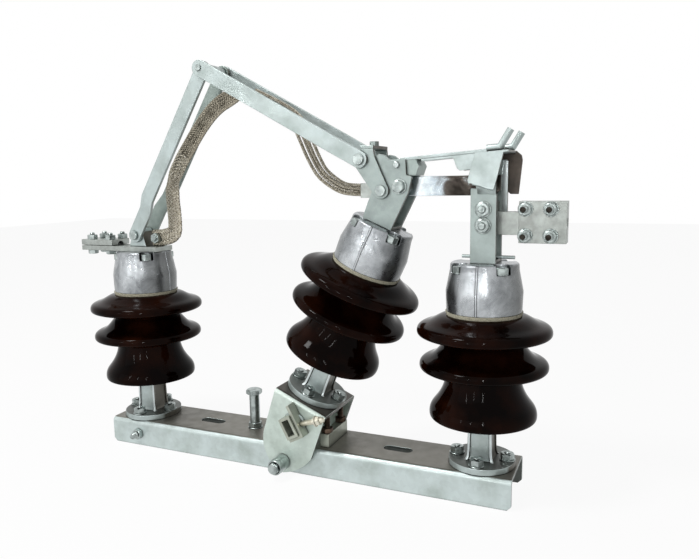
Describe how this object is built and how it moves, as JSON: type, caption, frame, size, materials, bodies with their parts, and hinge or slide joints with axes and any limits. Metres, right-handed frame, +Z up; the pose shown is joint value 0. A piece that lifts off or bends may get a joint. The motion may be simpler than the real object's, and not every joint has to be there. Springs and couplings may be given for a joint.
{
  "type": "substation disconnect switch",
  "caption": "Single-pole disconnect switch: brown porcelain posts on a steel channel, a leaning rocker post with blade, jaw, hinged arms and flexible braid.",
  "frame": {"origin": "half way between the two mounting slots, on the web's upper face", "axes": "+Z up, +X along the channel towards the jaw post, -Y to the front where the drive tube stands out"},
  "size_m": [0.8575, 0.196, 0.6645],
  "materials": {
    "porcelain": "glossy dark brown glaze",
    "cement": "pale set cement",
    "cast_cap": "bright cast, lightly stained",
    "braid": "dull tinned copper braid",
    "blade": "silvered flat bar with dark blotches",
    "terminal": "tinned, slightly dull",
    "fasteners": "zinc plated",
    "galvanised": "galvanised steel, cool grey"
  },
  "bodies": {
    "base": {"arm_bracket": "galvanised", "base_channel": "galvanised", "braid_anchor": "fasteners", "clamp_bolts": "fasteners", "flange_bolt": "fasteners", "foot_pin": "fasteners", "jaw_bolts": "fasteners", "jaw_fingers": "galvanised", "jaw_foot_rod": "galvanised", "jaw_post": "galvanised", "left_base_pin": "galvanised", "left_cap": "cast_cap", "left_clamp": "terminal", "left_porcelain": "porcelain", "outer_bolts": "fasteners", "outer_cement_rings": "cement", "pivot_bolt": "fasteners", "right_base_pin": "galvanised", "right_cap": "cast_cap", "right_clamp": "terminal", "right_porcelain": "porcelain", "stop_block": "galvanised", "stop_bolt": "fasteners", "stop_screws": "fasteners", "terminal_plate": "terminal", "terminal_tang": "terminal"},
    "rocker": {"rocker_bracket": "galvanised", "drive_tube": "galvanised", "drive_clamp": "galvanised", "drive_bolt": "fasteners", "head_bracket": "galvanised", "head_bolts": "fasteners", "main_blade": "blade", "blade_spacers": "galvanised", "latch_bar": "galvanised", "latch_block": "galvanised", "jaw_hood": "galvanised", "horn_rods": "galvanised", "centre_base_pin": "galvanised", "centre_bolts": "fasteners", "centre_cap": "cast_cap", "centre_cement_ring": "cement", "centre_porcelain": "porcelain"},
    "lower_arm": {"lower_arm_bars": "galvanised", "braid_lower": "braid"},
    "upper_arm": {"upper_arm_bars": "galvanised", "apex_pin": "fasteners", "link_plates": "galvanised", "link_bridge": "galvanised", "head_pin": "fasteners", "elbow_bolts": "fasteners", "braid_upper": "braid", "head_lug": "terminal"}
  },
  "joints": [
    {"name": "rocker_tilt", "type": "hinge", "parent": "base", "child": "rocker", "pos_m": [0, 0, -0.024], "axis": [0, -1, 0], "range_deg": [0, 30]},
    {"name": "foot_hinge", "type": "hinge", "parent": "base", "child": "lower_arm", "pos_m": [-0.31, 0, 0.334], "axis": [0, -1, 0], "range_deg": [0, 42]},
    {"name": "apex_hinge", "type": "hinge", "parent": "lower_arm", "child": "upper_arm", "pos_m": [-0.143, 0, 0.606], "axis": [0, 1, 0], "range_deg": [0, 47], "deforming": ["braid_lower", "braid_upper"]}
  ],
  "couplings": [
    {"joint": "foot_hinge", "follows": "rocker_tilt", "ratio": 1.388},
    {"joint": "apex_hinge", "follows": "rocker_tilt", "ratio": 1.535}
  ]
}
